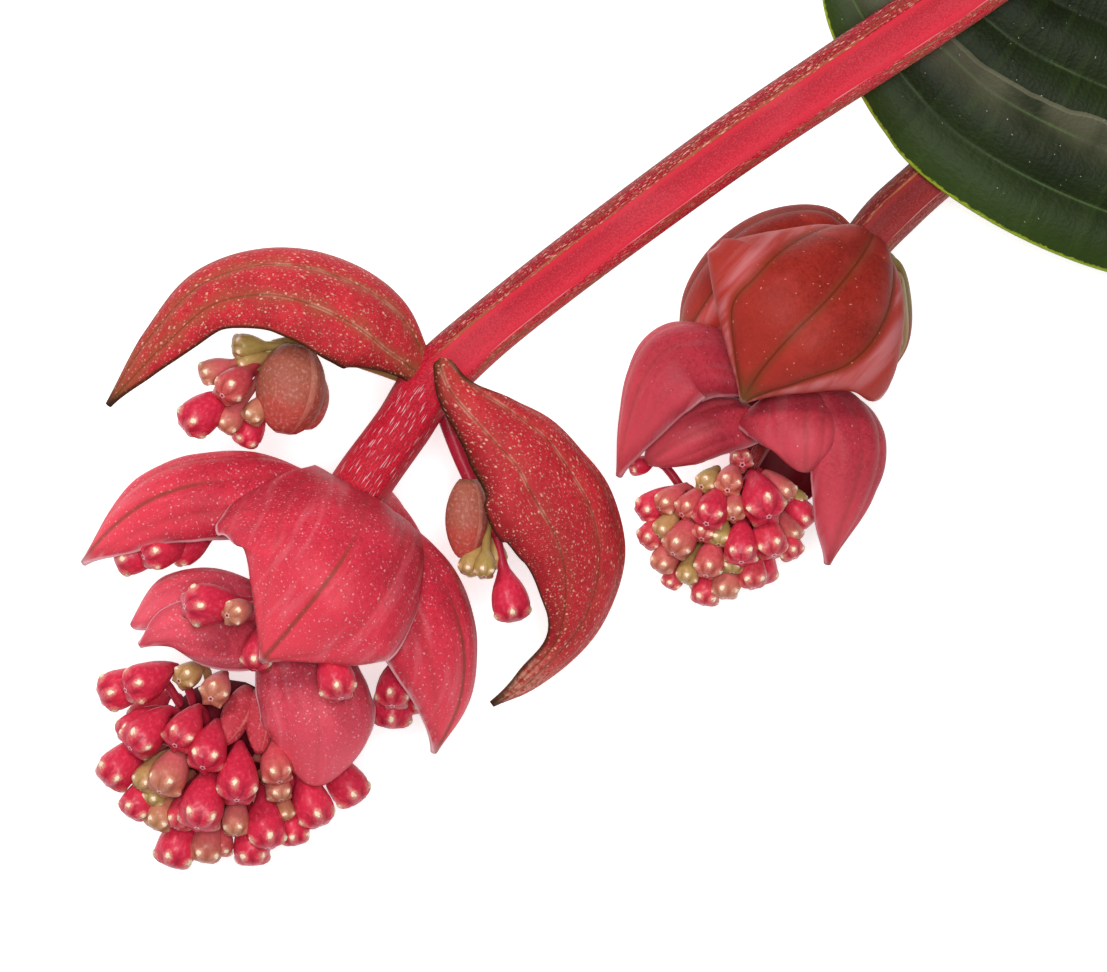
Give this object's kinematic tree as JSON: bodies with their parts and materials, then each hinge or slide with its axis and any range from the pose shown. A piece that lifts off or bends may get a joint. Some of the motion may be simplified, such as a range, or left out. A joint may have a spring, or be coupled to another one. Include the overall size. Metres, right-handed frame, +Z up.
{
  "type": "medinilla branch",
  "caption": "Cut medinilla branch laid flat: a short woody stem with a broad leaf and arching red stalks, which end in heads of buds inside cupped pink-red bracts.",
  "frame": {"origin": "on the surface that the branch lies on, below the middle of its box", "axes": "+Z up from the surface, +X from the front flower head towards the cut woody stem, which lies along Y with its cut end towards -Y"},
  "size_m": [0.282, 0.2326, 0.0707],
  "materials": {
    "bark": "matte",
    "stalk": "satin",
    "leaf": "satin",
    "upper_bract": "satin",
    "lower_bract": "satin",
    "bud": "gloss"
  },
  "bodies": {
    "root": {"woody_stem": "bark", "front_stalk": "stalk", "back_stalk": "stalk", "leaf": "leaf", "upper_left_bract": "upper_bract", "upper_right_bract": "upper_bract", "lower_front_bract": "lower_bract", "lower_left_bract": "lower_bract", "lower_right_bract": "lower_bract", "lower_back_bract": "lower_bract", "inner_right_bract": "lower_bract", "inner_left_bract": "lower_bract", "inner_middle_bract": "lower_bract", "back_head_front_bract": "upper_bract", "back_head_rear_bract": "upper_bract", "back_head_edge_bract": "upper_bract", "back_head_left_bract": "lower_bract", "back_head_middle_bract": "lower_bract", "back_head_right_bract": "lower_bract", "back_head_lower_bract": "lower_bract", "back_head_inner_bract": "lower_bract", "front_head_buds": "bud", "back_head_buds": "bud", "upper_left_spray": "bud", "upper_right_spray": "bud", "lower_left_spray": "bud", "lower_right_spray": "bud", "inner_left_spray": "bud", "inner_right_spray": "bud"}
  },
  "joints": []
}
